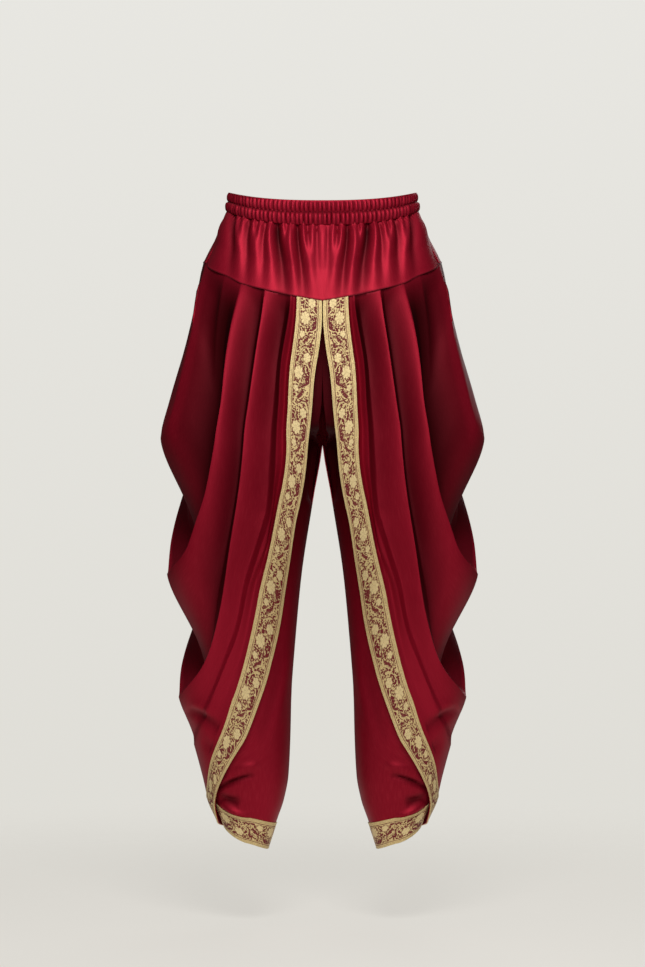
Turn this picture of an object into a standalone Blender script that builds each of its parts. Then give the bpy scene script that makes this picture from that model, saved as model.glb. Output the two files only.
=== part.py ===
# Draped dhoti trousers in satin with woven borders, filled out as if worn, in metres with +Z up.
# The origin is the middle of the waist opening, -Y is the front and +X is the wearer's left.
# Sizes in the tables are in millimetres. A drop is measured down from the origin,
# and a reach is measured sideways from the centre line.

import math

import bpy
import numpy as np

MILLIMETRE = 0.001
CLOTH = 1.5                 # wall of the satin panels
TRIM = 1.2                  # wall of the woven borders
GAP = 0.3                   # space between two pieces at a seam
YOKE_SEAM_GAP = {"front": 0.5, "side": 1.3}    # the same under the yoke, where the seam is steep at the side
BORDER_WIDTH = 39.0
CROTCH_DROP = 362.0
SQUARENESS = 0.8            # power of the sine and cosine in a section, below 1 for a squarer one

# The waistband: an elastic casing in two ribbed rows.
BAND_HALF_WIDTH = 141.0
BAND_FRONT = 95.0
BAND_BACK = 98.0
BAND_TOP = {"side": -18.0, "front": 0.0, "back": -14.0}
BAND_BOTTOM = {"side": 10.0, "front": 37.0, "back": 21.0}
BAND_WALL = 2.0
RIB_COUNT = 118
RIB_HEIGHT = 1.3
# height is the share of the band's height from the bottom, out the puff of the casing there.
BAND_PROFILE = (
    # height, out, share of the rib's height
    (0.00, 0.4, 0.3),
    (0.15, 2.7, 0.9),
    (0.36, 3.2, 1.0),
    (0.52, 0.6, 0.4),
    (0.76, 2.4, 1.0),
    (1.00, 0.5, 0.5),
)

# The yoke: a gathered hip panel in a front and a back.
YOKE_SIDE_TURN = 14.0       # degrees forward of the side where its side seam runs
SIDE_SEAM_TURN = 0.004      # radians between the front yoke's edge and the back yoke's
YOKE_GATHERS = 13           # soft folds over the front, and as many over the back
YOKE_COLUMNS = 57
YOKE_ROWS = 4
YOKE_GATHER_DEPTH = 5.5
YOKE_PUFF = 4.5             # how far it swells just under the band
# Drop of the seam under the yoke at each reach.
SIDE_SEAM_DROP = 87.0
FRONT_SEAM = ((0, 150), (45, 142), (85, 133), (118, 124), (139, 113), (169, 98), (178, SIDE_SEAM_DROP))
BACK_SEAM = ((0, 112), (60, 109), (120, 100), (165, 88), (178, SIDE_SEAM_DROP))

# The hull that the panels hang in: reach of its outer and inner side, depth of its front and back.
HULL = (
    # drop, outer, inner, front, back
    (10, 145.0, 0.0, 98, 101),
    (38, 160.5, 0.0, 104, 112),
    (86, 178.0, 0.0, 112, 124),
    (142, 193.5, 0.0, 119, 132),
    (217, 215.0, 0.0, 125, 138),
    (292, 233.0, 0.0, 128, 140),
    (348, 242.7, 0.0, 128, 139),
    (442, 239.0, 14.0, 122, 132),
    (552, 233.0, 31.0, 114, 122),
    (645, 225.0, 40.0, 105, 110),
    (732, 216.5, 46.5, 94, 98),
    (795, 196.5, 48.0, 85, 87),
    (855, 180.0, 51.0, 74, 75),
    (892, 171.0, 58.0, 65, 65),
    (921, 158.0, 68.0, 58, 58),
    (964, 142.0, 82.0, 52, 52),
)

# The drops between which one torso section parts into two legs.
# The wrapped panel parts slowly over the thighs, and the rise seams come to the crotch quickly.
THIGH_PARTING = (150.0, 590.0)
RISE_PARTING = (130.0, CROTCH_DROP)
RISE_POWER = 2.2

# The hem of a leg, which is higher at the outer ankle.
HEM_OUTER = 925.0
HEM_INNER = 964.0

# Each fold line of the wrapped panel runs from the front yoke seam, down and round the outer side,
# and up to the back yoke seam. Front reaches are at these shares of the way down to its low point.
FRONT_SHARES = (0.0, 0.12, 0.25, 0.4, 0.55, 0.7, 0.82, 0.92)
FRONT_FOLDS = {
    # name: reach at each share, drop of the low point at the side
    "first": ((174, 183, 190, 195, 204, 214, 222, 230), 352),
    "second": ((119, 133, 143, 149, 159, 171, 188, 203), 556),
    "third": ((85, 95.5, 107, 117.5, 129, 142, 157, 178), 741),
    "fourth": ((46, 59, 65, 71, 87, 117, 145, 172), 812),
    "border": ((37.5, 45.5, 52, 63, 87, 111, 138, 165), 888),
    "edge": ((1, 6.5, 16.5, 37.5, 57, 79, 111, 153), 928),
}
BACK_FOLDS = {
    # name: reach and drop of each station from the side up to the back yoke seam
    "first": ((235, 341), (229, 322), (212, 275), (192, 206), (176, 140), (160, 89)),
    "second": ((232, 533), (229, 497), (208, 420), (163, 307), (122, 194), (92, 104)),
    "third": ((215, 703), (204, 653), (162, 547), (124, 391), (88, 235), (55, 109)),
    "fourth": ((196, 775), (186, 722), (140, 680), (92, 460), (46, 300), (30, 111)),
    "border": ((150, 897), (110, 914), (84, 924), (48, 640), (6, 358), (6, 112)),
    "edge": ((144, 936), (112, 955), (0, 964), (0, 640), (0, 362), (0, 112)),
}
BACK_RISE_TURNS = (0.5, 1.7)    # turns, in radians, between which the back comes to follow the rise seam
SIDE_LINE_TURN = 11.0       # degrees forward and back of the side where the first line, on the seam, ends
SEAM_MARGIN = 0.06          # radians by which the fold lines stay clear of the centre-back seam
HEM_CORNER = 11              # station of the fold lines where the edge turns from the hem to the inseam

# Depth of the valley between a fold line and the next, at the stations named in VALLEY_PLACES.
VALLEY_PLACES = (0, 1, 3, 5, 8, 10, 11, 14)
VALLEYS = {
    # name of the fold line before it: depth at each place
    "side": (0.0, 4, 7, 10, 12, 9, 6, 0.0),
    "first": (2.0, 14, 22, 34, 50, 26, 16, 1.5),
    "second": (2.0, 13, 18, 26, 46, 24, 16, 1.5),
    "third": (2.0, 12, 12, 8, 3, 6, 8, 1.5),
    "fourth": (1.5, 8, 8, 4, 0, 2, 3, 1.0),
    "border": (0, 0, 0, 0, 0, 0, 0, 0),
}
# Columns of the panel between two fold lines, as shares of the way, and where the valley is deepest.
VALLEY_COLUMNS = {
    "side": ((0, 0.35, 0.7), 0.5),
    "first": ((0, 0.2, 0.38, 0.5, 0.6, 0.72, 0.82, 0.92), 0.82),
    "second": ((0, 0.25, 0.48, 0.66, 0.82, 0.92), 0.82),
    "third": ((0, 0.3, 0.58, 0.8, 0.91), 0.8),
    "fourth": ((0, 0.35, 0.7), 0.6),
    "border": ((0, 0.5, 1.0), 0.5),
}
# The soft pleat between the first and the second fold at the seam: share, depth of the hollow by it.
SOFT_PLEAT = (0.58, 14.0)
ROWS_BETWEEN_STATIONS = (3, 2, 2, 2, 2, 2, 2, 2, 2, 2, 2, 3, 3, 5)
CROTCH_ROW_POWER = 1.7      # brings the rows of the rise seam closer together at the crotch

# The under panel of a leg, from the centre-front seam and the inseam out under the wrapped panel.
UNDER_INSET = ((146, 3.2), (152, 5), (160, 10), (185, 15), (700, 14), (850, 7.5), (970, 6.5))
UNDER_OVERLAP = 45.0
UNDER_LAST_TURN = 18.0
UNDER_ROWS = (0, 0.02, 0.06, 0.12, 0.18, 0.23, 0.26, 0.277, 0.29, 0.31, 0.36, 0.44, 0.54, 0.64, 0.74, 0.83, 0.9, 0.955)
UNDER_COLUMNS = 8
UNDER_TUCK = 4.0            # how far its top runs up behind the yoke


def smooth_through(knots, values, places):
    """A curve through the knots that never swings past them."""
    knots = np.asarray(knots, float)
    values = np.asarray(values, float)
    step = np.diff(knots)
    slope = np.diff(values) / step
    tangent = np.zeros(len(knots))
    tangent[0] = slope[0]
    tangent[-1] = slope[-1]
    for k in range(1, len(slope)):
        if slope[k - 1] * slope[k] > 0:
            tangent[k] = 2 * slope[k - 1] * slope[k] / (slope[k - 1] + slope[k])
    places = np.clip(np.asarray(places, float), knots[0], knots[-1])
    k = np.clip(np.searchsorted(knots, places, side="right") - 1, 0, len(step) - 1)
    t = (places - knots[k]) / step[k]
    start = values[k] * (1 + 2 * t) + tangent[k] * step[k] * t
    end = values[k + 1] * (3 - 2 * t) + tangent[k + 1] * step[k] * (t - 1)
    return start * (1 - t) ** 2 + end * t ** 2


def rounded(value):
    return np.sign(value) * np.abs(value) ** SQUARENESS


def hull(drop):
    columns = np.array(HULL).T
    return [smooth_through(columns[0], column, drop) for column in columns[1:]]


def between(value, first, last):
    return np.clip((value - first) / (last - first), 0, 1)


def eased(share):
    return share * share * (3 - 2 * share)


def hull_point(turn, drop, rise, inset=0.0):
    """A point of the hull. A turn is positive over the front and negative over the back.

    rise is how far the section follows the rise seams: 0 for a panel that lies over the thigh,
    1 for one that is sewn in them.
    """
    outer, inner, front, back = hull(drop)
    over_thigh = eased(between(drop, *THIGH_PARTING))
    at_rise = between(drop, *RISE_PARTING) ** RISE_POWER
    share = (1 - rise) * over_thigh + rise * at_rise
    centre = share * (outer + inner) / 2
    across = rounded(np.cos(turn))
    along = rounded(np.sin(turn))
    x = centre + np.where(across > 0, outer - centre - inset, outer - centre) * across
    y = -along * np.where(along > 0, front - inset, back - inset)
    return np.stack([x + GAP / 2, y, -np.asarray(drop, float) + 0 * x], axis=-1)


def back_rise(turn):
    """The back of the wrapped panel lies over the thigh, and follows the rise seam where it is sewn."""
    return eased(between(np.abs(turn), *BACK_RISE_TURNS))


def front_rise(turn):
    return 0 * np.asarray(turn, float)


def under_rise(turn):
    return 1 + 0 * np.asarray(turn, float)


def turn_at(reach, drop, rise_of):
    """Turn round the section from the outer side, in radians, where it has this reach, or the most."""
    low = 0 * np.asarray(drop, float) + 0 * np.asarray(reach, float)
    high = low + math.pi
    for _ in range(40):
        middle = (low + high) / 2
        outside = hull_point(middle, drop, rise_of(middle))[..., 0] - GAP / 2 > np.maximum(reach, 0)
        low = np.where(outside, middle, low)
        high = np.where(outside, high, middle)
    return high


def seam_drop(reach, seam):
    reaches, drops = zip(*seam)
    return smooth_through(reaches, drops, np.abs(reach))


def hem_drop(turn):
    return HEM_OUTER + (HEM_INNER - HEM_OUTER) * ((1 - np.cos(turn)) / 2) ** 0.6


def blend_rows(first, second, share):
    return (1 - share) * np.asarray(first, float) + share * np.asarray(second, float)


def on_seam(turn, seam, drop):
    """Drop of the yoke seam at a turn of the torso section."""
    drop = drop + 0 * turn
    for _ in range(3):
        drop = seam_drop(hull_point(turn, drop, 0)[..., 0], seam)
    return drop


def fold_stations(name):
    """Turn, drop, hold and margin of a fold line's stations.

    A line with a hold of 1 runs on the centre seam, and one beside it stays a margin away from it.
    """
    front_reaches, low_drop = FRONT_FOLDS[name]
    top = seam_drop(front_reaches[0], FRONT_SEAM)
    drops = top + np.array(FRONT_SHARES) * (low_drop - top)
    turns = turn_at(np.array(front_reaches), drops, front_rise)
    back_reaches, back_drops = np.array(BACK_FOLDS[name], float).T
    back_turns = turn_at(back_reaches, back_drops, back_rise)
    to_seam = turn_at(0 * back_drops, back_drops, back_rise) - back_turns
    holds = np.where(back_reaches < 1, 1.0, 0.0)
    none = np.zeros(len(turns) + 1)
    return np.array([np.concatenate([turns, [0.0], -back_turns]),
                     np.concatenate([drops, [low_drop], back_drops]),
                     np.concatenate([none, holds]),
                     np.concatenate([none, np.minimum(to_seam, SEAM_MARGIN)])])


def side_stations(following):
    """The line that the panel starts from: the yoke seam itself, round the side."""
    turns = math.radians(SIDE_LINE_TURN) * np.cos(np.linspace(0, math.pi, following.shape[1]))
    front = on_seam(np.maximum(turns, 0), FRONT_SEAM, SIDE_SEAM_DROP)
    back = on_seam(np.minimum(turns, 0), BACK_SEAM, SIDE_SEAM_DROP)
    return np.array([turns, np.where(turns > 0, front, back), 0 * turns, SEAM_MARGIN + 0 * turns])


def settle_on_seam(stations):
    """Puts the two ends of a fold line exactly on the yoke seam."""
    stations[1, 0] = on_seam(stations[0, 0], FRONT_SEAM, stations[1, 0])
    stations[1, -1] = on_seam(stations[0, -1], BACK_SEAM, stations[1, -1])
    return stations


def fold_line(stations, places):
    """Points of the hull along a fold line, at places counted in stations."""
    knots = np.arange(stations.shape[1])
    turn, drop, hold, margin = [smooth_through(knots, row, places) for row in stations]
    furthest = turn_at(0 * drop, drop, back_rise)
    held = np.minimum(hold * furthest - (1 - hold) * turn, furthest - margin)
    turn = np.where(turn < 0, -held, turn)
    points = hull_point(turn, drop, np.where(turn < 0, back_rise(turn), 0))
    points[:, 1] += GAP / 2 * np.clip(-turn / math.pi, 0, 1)
    return points


def valley_shape(share, deepest):
    """A gentle fall from one fold to the valley and a steep rise to the crisp edge of the next."""
    fall = math.sin(min(share / deepest, 1) * math.pi / 2) ** 1.5
    rise = max(share - deepest, 0) / (1 - deepest)
    return fall * (1 - rise ** 1.2)


def soft_pleat_shape(share):
    """The seam end of the first valley, with a hollow, a soft pleat and a shallow valley after it."""
    place, _ = SOFT_PLEAT
    if share < place:
        return math.sin(math.pi * (share / place) ** 1.6) ** 0.8
    return 0.35 * math.sin(math.pi * (share - place) / (1 - place))


def row_places(row_counts):
    """Places of the rows of the wrapped panel, counted in stations."""
    places = [np.linspace(k, k + 1, n, endpoint=False) for k, n in enumerate(row_counts)]
    rise_rows = row_counts[-1]
    places[-1] = len(row_counts) - 1 + (np.arange(rise_rows) / rise_rows) ** CROTCH_ROW_POWER
    return np.concatenate(places + [[len(row_counts)]])


def panel_grid(row_counts, columns):
    """Hull points and valley depths of the wrapped panel of the left leg."""
    places = row_places(row_counts)
    names = list(VALLEYS)
    stations = {name: fold_stations(name) for name in FRONT_FOLDS}
    stations["side"] = side_stations(stations["first"])
    lines = []
    depths = []
    for name, following in zip(names, names[1:] + ["edge"]):
        shares, deepest = columns[name]
        for share in shares:
            blended = settle_on_seam(blend_rows(stations[name], stations[following], share))
            lines.append(fold_line(blended, places))
            depth = smooth_through(VALLEY_PLACES, VALLEYS[name], places) * valley_shape(share, deepest)
            if name == "first":
                near_seam = np.clip(1 - places / 3.2, 0, 1) ** 1.3
                hollow = SOFT_PLEAT[1] * np.clip(places / 0.8, 0.12, 1)
                depth = (1 - near_seam) * depth + near_seam * hollow * soft_pleat_shape(share)
            depths.append(depth)
    return np.array(lines), np.array(depths)


def grid_normals(grid):
    """Outward normals of a grid whose first index runs across and second runs down its front."""
    return unit(np.cross(np.gradient(grid, axis=0), np.gradient(grid, axis=1)))


def unit(vectors):
    return vectors / np.linalg.norm(vectors, axis=-1, keepdims=True)


def level_at_yoke(normals):
    """Along the yoke seam the wall is cut level, so that its top edge stays under the yoke."""
    normals[:, (0, -1), 2] = 0
    normals[0, :, 2] = 0
    return normals


def square_edge(normals, grid, rows):
    """At the centre seam and the inseam the wall is cut square, so that two edges meet flush."""
    drop = -grid[-1, :, 2]
    normals[-1, rows & (drop < CROTCH_DROP - 0.01), 0] = 0
    normals[-1, rows & (drop > CROTCH_DROP + 0.01), 1] = 0
    normals[-1, rows & (abs(drop - CROTCH_DROP) < 0.01)] = (0, 0, -1)
    return unit(normals)


def wrapped_panel():
    """Outer points of the wrapped panel with its valleys sunk, and its outward normals."""
    hull_lines, depths = panel_grid(ROWS_BETWEEN_STATIONS, VALLEY_COLUMNS)
    plain = grid_normals(hull_lines)
    outer = hull_lines - plain * depths[:, :, None]
    outer[:, :, 0] = np.maximum(outer[:, :, 0], GAP / 2)
    sewn = np.arange(outer.shape[1]) >= sum(ROWS_BETWEEN_STATIONS[:HEM_CORNER])
    return outer, square_edge(level_at_yoke(grid_normals(outer)), outer, sewn)


def under_panel():
    """Outer points of the under panel and its outward normals, with the rows of its hem border last."""
    grid = []
    edge_reaches, edge_low = FRONT_FOLDS["edge"]
    edge_drops = FRONT_SEAM[0][1] + np.array(FRONT_SHARES) * (edge_low - FRONT_SEAM[0][1])
    top = FRONT_SEAM[0][1] - UNDER_TUCK
    shares = list(UNDER_ROWS) + [1.0]
    band_rows = (0.5, 1.0)
    inset_drops, insets = zip(*UNDER_INSET)
    for row in shares + list(band_rows):
        in_band = len(grid) >= len(shares)
        points = []
        turn = math.pi
        for k in range(UNDER_COLUMNS + 1):
            share = k / UNDER_COLUMNS
            for _ in range(4):
                above_band = hem_drop(turn) - BORDER_WIDTH
                drop = above_band + row * BORDER_WIDTH if in_band else top + row * (above_band - top)
                first = turn_at(0.0, drop, under_rise)
                reach = np.interp(drop, edge_drops, edge_reaches) + UNDER_OVERLAP
                last = max(turn_at(reach, drop, under_rise), math.radians(UNDER_LAST_TURN))
                turn = first + share * (last - first)
            inset = np.interp(drop, inset_drops, insets)
            points.append(hull_point(turn, drop, 1, inset))
        grid.append(points)
    grid = np.array(grid).transpose(1, 0, 2)[::-1]
    grid[:, :, 1] -= GAP / 2
    normals = square_edge(grid_normals(grid), grid, np.full(grid.shape[1], True))
    return grid, normals, len(band_rows)


def ring_level(levels, turn):
    """A level that changes smoothly from the side to the front and to the back."""
    ends = np.where(np.sin(turn) > 0, levels["front"], levels["back"])
    return levels["side"] + (ends - levels["side"]) * np.abs(np.sin(turn)) ** 1.5


def band_point(turn, out, height):
    x = (BAND_HALF_WIDTH + out) * rounded(np.cos(turn))
    y = -rounded(np.sin(turn)) * (np.where(np.sin(turn) > 0, BAND_FRONT, BAND_BACK) + out)
    bottom = ring_level(BAND_BOTTOM, turn)
    drop = bottom + height * (ring_level(BAND_TOP, turn) - bottom)
    return np.stack([x, y, -drop], axis=-1)


def even_turns(count):
    """Turns that are evenly spaced along the band."""
    fine = np.linspace(0, 2 * math.pi, 4001)
    ring = band_point(fine, 0, 0.5)
    length = np.concatenate([[0], np.cumsum(np.linalg.norm(np.diff(ring, axis=0), axis=1))])
    return np.interp(np.arange(count) / count * length[-1], length, fine)


def yoke_grid(front):
    """Outer points of the front or the back yoke, from the band down to its seam, and its normals."""
    side = math.radians(YOKE_SIDE_TURN)
    first, last = (side, math.pi - side) if front else (side - SIDE_SEAM_TURN, -math.pi - side + SIDE_SEAM_TURN)
    across = np.arange(-1, YOKE_COLUMNS + 2) / YOKE_COLUMNS
    turn = first + across * (last - first)
    top = band_point(turn, 0.9 + CLOTH / 2, 0)
    top[:, 2] -= GAP
    drop = np.where(np.sin(turn) > 0, on_seam(turn, FRONT_SEAM, SIDE_SEAM_DROP),
                    on_seam(turn, BACK_SEAM, SIDE_SEAM_DROP))
    low = hull_point(turn, drop, 0)
    low[:, 0] -= GAP / 2
    low[:, 2] += YOKE_SEAM_GAP["front"] + (YOKE_SEAM_GAP["side"] - YOKE_SEAM_GAP["front"]) * np.cos(turn) ** 6
    wave = 0.5 + 0.5 * np.cos(2 * math.pi * YOKE_GATHERS * (across + 0.012 * np.sin(9 * across)))
    smooth = []
    sinks = []
    for row in np.linspace(0, 1, YOKE_ROWS + 1):
        down = row ** 1.25
        points = blend_rows(top, low, down)
        swell = YOKE_PUFF * math.sin(math.pi * min(down * 1.7, 1)) * (1 - down)
        smooth.append(points + unit(points * (1, 1, 0)) * swell)
        sinks.append(YOKE_GATHER_DEPTH * math.sin(math.pi * min(down * 1.5 + 0.12, 1)) ** 0.8 * wave * (1 - down))
    smooth = np.array(smooth).transpose(1, 0, 2)
    smooth = smooth if front else smooth[::-1]
    sinks = np.array(sinks).T if front else np.array(sinks).T[::-1]
    normals = unit(grid_normals(smooth) * (1, 1, 0.3))
    outer = smooth - normals * sinks[:, :, None]
    return outer[1:-1], normals[1:-1]


def add_mesh(name, points, faces, material):
    mesh = bpy.data.meshes.new(name)
    mesh.from_pydata([tuple(point) for point in points * MILLIMETRE], [], faces)
    mesh.materials.append(material)
    mesh.shade_smooth()
    mesh.set_sharp_from_angle(angle=math.radians(38))
    piece = bpy.data.objects.new(name, mesh)
    bpy.context.collection.objects.link(piece)


def add_wall(name, outer, inner, material, mirrored=False):
    """A closed wall between an outer and an inner grid of points."""
    if mirrored:
        outer = outer[::-1] * (-1, 1, 1)
        inner = inner[::-1] * (-1, 1, 1)
    across, down = outer.shape[:2]

    def index(i, j, side):
        return (side * across + i) * down + j

    faces = []
    for i in range(across - 1):
        for j in range(down - 1):
            faces.append([index(i, j, 0), index(i + 1, j, 0), index(i + 1, j + 1, 0), index(i, j + 1, 0)])
            faces.append([index(i, j, 1), index(i, j + 1, 1), index(i + 1, j + 1, 1), index(i + 1, j, 1)])
        top, bottom = 0, down - 1
        faces.append([index(i, top, 0), index(i, top, 1), index(i + 1, top, 1), index(i + 1, top, 0)])
        faces.append([index(i, bottom, 0), index(i + 1, bottom, 0), index(i + 1, bottom, 1), index(i, bottom, 1)])
    for j in range(down - 1):
        first, last = 0, across - 1
        faces.append([index(first, j, 0), index(first, j + 1, 0), index(first, j + 1, 1), index(first, j, 1)])
        faces.append([index(last, j, 0), index(last, j, 1), index(last, j + 1, 1), index(last, j + 1, 0)])
    points = np.concatenate([outer.reshape(-1, 3), inner.reshape(-1, 3)])
    add_mesh(name, points, faces, material)


def make_material(name, colour, roughness, metallic=0.0):
    material = bpy.data.materials.new(name)
    material.use_nodes = True
    shader = material.node_tree.nodes["Principled BSDF"]
    shader.inputs["Base Color"].default_value = (*colour, 1)
    shader.inputs["Roughness"].default_value = roughness
    shader.inputs["Metallic"].default_value = metallic
    return material


def add_waistband(material):
    turns = even_turns(2 * RIB_COUNT)
    rib = RIB_HEIGHT * (np.arange(len(turns)) % 2)
    loop = [band_point(turns, BAND_WALL + out + share * rib, height) for height, out, share in BAND_PROFILE]
    loop += [band_point(turns, 0, height) for height in (1, 0)]
    loop = np.array(loop).transpose(1, 0, 2)
    around, levels = loop.shape[:2]
    faces = [[i * levels + j, i * levels + (j + 1) % levels,
              (i + 1) % around * levels + (j + 1) % levels, (i + 1) % around * levels + j]
             for i in range(around) for j in range(levels)]
    add_mesh("waistband", loop.reshape(-1, 3), faces, material)


def add_yoke(name, front, material):
    outer, normals = yoke_grid(front)
    add_wall(name, outer, outer - normals * CLOTH, material)


def own_half(points):
    """Keeps a leg's points just clear of the middle plane, where the other leg's begin."""
    return np.maximum(points, (GAP / 2, -math.inf, -math.inf))


def add_leg(side, mirrored, satin, gold):
    outer, normals = wrapped_panel()
    add_wall("drape_" + side, own_half(outer), own_half(outer - normals * CLOTH), satin, mirrored)
    border_columns = len(VALLEY_COLUMNS["border"][0])
    corner_row = sum(ROWS_BETWEEN_STATIONS[:HEM_CORNER])
    strip = outer[-border_columns:, :corner_row + 1]
    lift = normals[-border_columns:, :corner_row + 1]
    add_wall("border_" + side, own_half(strip + lift * (GAP + TRIM)), own_half(strip + lift * GAP), gold, mirrored)
    outer, normals, band_rows = under_panel()
    add_wall("under_" + side, own_half(outer), own_half(outer - normals * CLOTH), satin, mirrored)
    strip = outer[:, -band_rows - 1:]
    lift = normals[:, -band_rows - 1:]
    add_wall("hem_border_" + side, strip + lift * (GAP + TRIM), strip + lift * GAP, gold, mirrored)


def main():
    for old in list(bpy.data.objects):
        bpy.data.objects.remove(old)
    satin = make_material("satin", (0.30, 0.012, 0.03), 0.38)
    gold = make_material("gold_brocade", (0.55, 0.42, 0.19), 0.55, 0.2)
    add_waistband(satin)
    add_yoke("yoke_front", True, satin)
    add_yoke("yoke_back", False, satin)
    add_leg("left", False, satin, gold)
    add_leg("right", True, satin, gold)


main()
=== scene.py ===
# Draped dhoti trousers in deep red satin with woven gold borders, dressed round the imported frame.
# Blender units are metres, +Z up, -Y the front, +X the wearer's left. Tables are in millimetres:
# a drop is measured down from the middle of the waist opening, a reach sideways from the centre line.
import math

import bpy
import numpy as np
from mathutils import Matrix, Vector


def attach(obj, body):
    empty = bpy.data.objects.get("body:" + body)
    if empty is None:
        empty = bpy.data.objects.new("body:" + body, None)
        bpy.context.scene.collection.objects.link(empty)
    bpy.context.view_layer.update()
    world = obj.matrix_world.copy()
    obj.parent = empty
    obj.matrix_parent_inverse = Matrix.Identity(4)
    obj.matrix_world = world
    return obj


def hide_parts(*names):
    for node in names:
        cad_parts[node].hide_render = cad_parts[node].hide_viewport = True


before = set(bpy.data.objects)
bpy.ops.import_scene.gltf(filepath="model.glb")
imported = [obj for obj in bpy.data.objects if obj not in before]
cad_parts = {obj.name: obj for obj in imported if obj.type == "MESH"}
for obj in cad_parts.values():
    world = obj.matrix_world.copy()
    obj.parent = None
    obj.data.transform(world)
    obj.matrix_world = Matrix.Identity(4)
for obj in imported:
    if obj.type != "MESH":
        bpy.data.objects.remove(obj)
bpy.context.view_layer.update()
print("frame loaded")

millimetre = 0.001

# The hull that every panel hangs in: outer and inner reach of a leg, depth of its front and back.
hull = {
    "rows": [  # drop, outer, inner, front, back
        (10, 145.0, 0.0, 98, 101), (38, 160.5, 0.0, 104, 112), (86, 178.0, 0.0, 112, 124),
        (142, 193.5, 0.0, 119, 132), (217, 215.0, 0.0, 125, 138), (292, 233.0, 0.0, 128, 140),
        (348, 242.7, 0.0, 128, 139), (442, 239.0, 14.0, 122, 132), (552, 233.0, 31.0, 114, 122),
        (645, 225.0, 40.0, 105, 110), (732, 216.5, 46.5, 94, 98), (795, 196.5, 48.0, 85, 87),
        (855, 180.0, 51.0, 74, 75), (892, 171.0, 58.0, 65, 65), (921, 158.0, 68.0, 58, 58),
        (964, 142.0, 82.0, 52, 52)],
    "squareness": 0.8,
    "thighParting": (150.0, 590.0),
    "riseParting": (130.0, 362.0),
    "risePower": 2.2,
    "backRiseTurns": (0.5, 1.7),
    "hemOuter": 925.0,
    "hemInner": 964.0,
    "fineSteps": 4001,
    "halvings": 34,          # rounds in which a turn is found for a reach
    "seamRounds": 3,
    "normalPasses": 3,
}
seams = {
    "sideDrop": 87.0,
    "front": ((0, 150), (45, 142), (85, 133), (118, 124), (139, 113), (169, 98), (178, 87)),
    "back": ((0, 112), (60, 109), (120, 100), (165, 88), (178, 87)),
}


def smoothThrough(knots, values, places):
    # a curve through the knots that never swings past them
    knots = np.asarray(knots, float)
    values = np.asarray(values, float)
    step = np.diff(knots)
    slope = np.diff(values) / step
    tangent = np.zeros(len(knots))
    tangent[0], tangent[-1] = slope[0], slope[-1]
    for k in range(1, len(slope)):
        if slope[k - 1] * slope[k] > 0:
            tangent[k] = 2 * slope[k - 1] * slope[k] / (slope[k - 1] + slope[k])
    places = np.clip(np.asarray(places, float), knots[0], knots[-1])
    k = np.clip(np.searchsorted(knots, places, side="right") - 1, 0, len(step) - 1)
    t = (places - knots[k]) / step[k]
    start = values[k] * (1 + 2 * t) + tangent[k] * step[k] * t
    end = values[k + 1] * (3 - 2 * t) + tangent[k + 1] * step[k] * (t - 1)
    return start * (1 - t) ** 2 + end * t ** 2


def between(value, first, last):
    return np.clip((value - first) / (last - first), 0, 1)


def eased(share):
    return share * share * (3 - 2 * share)


def squared(value):
    return np.sign(value) * np.abs(value) ** hull["squareness"]


def unit(vectors):
    return vectors / np.maximum(np.linalg.norm(vectors, axis=-1, keepdims=True), 1e-9)


def bell(distance, width):
    return np.exp(-(distance / width) ** 2)


def hullPoint(turn, drop, rise, inset=0.0):
    # a turn is positive over the front; a rise of 1 follows the rise seams, 0 lies over the thigh
    columns = np.array(hull["rows"]).T
    outer, inner, front, back = [smoothThrough(columns[0], column, drop) for column in columns[1:]]
    overThigh = eased(between(drop, *hull["thighParting"]))
    atRise = between(drop, *hull["riseParting"]) ** hull["risePower"]
    share = (1 - rise) * overThigh + rise * atRise
    centre = share * (outer + inner) / 2
    across = squared(np.cos(turn))
    along = squared(np.sin(turn))
    x = centre + np.where(across > 0, outer - centre - inset, outer - centre) * across
    y = -along * np.where(along > 0, front - inset, back - inset)
    return np.stack([x, y, -np.asarray(drop, float) + 0 * x], axis=-1)


def spread(turn):
    # stretches the turns about the middle of a panel, where the squared section moves fastest
    size = np.abs(turn)
    return np.sign(turn) * (size / 2 + (1 - squared(np.cos(size))) * math.pi / 4)


def unspread(value):
    turns = np.linspace(0, math.pi, hull["fineSteps"])
    return np.sign(value) * np.interp(np.abs(value), spread(turns), turns)


def backRise(turn):
    return eased(between(np.abs(turn), *hull["backRiseTurns"]))


def turnAt(reach, drop, riseOf):
    # turn where the section has this reach, found by halving
    low = 0 * np.asarray(drop, float) + 0 * np.asarray(reach, float)
    high = low + math.pi
    for _ in range(hull["halvings"]):
        middle = (low + high) / 2
        outside = hullPoint(middle, drop, riseOf(middle))[..., 0] > np.maximum(reach, 0)
        low = np.where(outside, middle, low)
        high = np.where(outside, high, middle)
    return high


def seamDrop(reach, seam):
    reaches, drops = zip(*seam)
    return smoothThrough(reaches, drops, np.abs(reach))


def onSeam(turn, seam, drop):
    drop = drop + 0 * turn
    for _ in range(hull["seamRounds"]):
        drop = seamDrop(hullPoint(turn, drop, 0)[..., 0], seam)
    return drop


def softened(values, passes):
    # runs a one-two-one filter along the last axis, with its ends held
    values = np.array(values, float)
    for _ in range(passes):
        values[..., 1:-1] = (values[..., :-2] + 2 * values[..., 1:-1] + values[..., 2:]) / 4
    return values


def gridNormals(grid):
    # weighted by area and averaged along each column, so a place where points meet takes its neighbours'
    facing = np.cross(np.gradient(grid, axis=0), np.gradient(grid, axis=1))
    return unit(softened(facing.transpose(0, 2, 1), hull["normalPasses"]).transpose(0, 2, 1))


# Meshes

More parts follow.
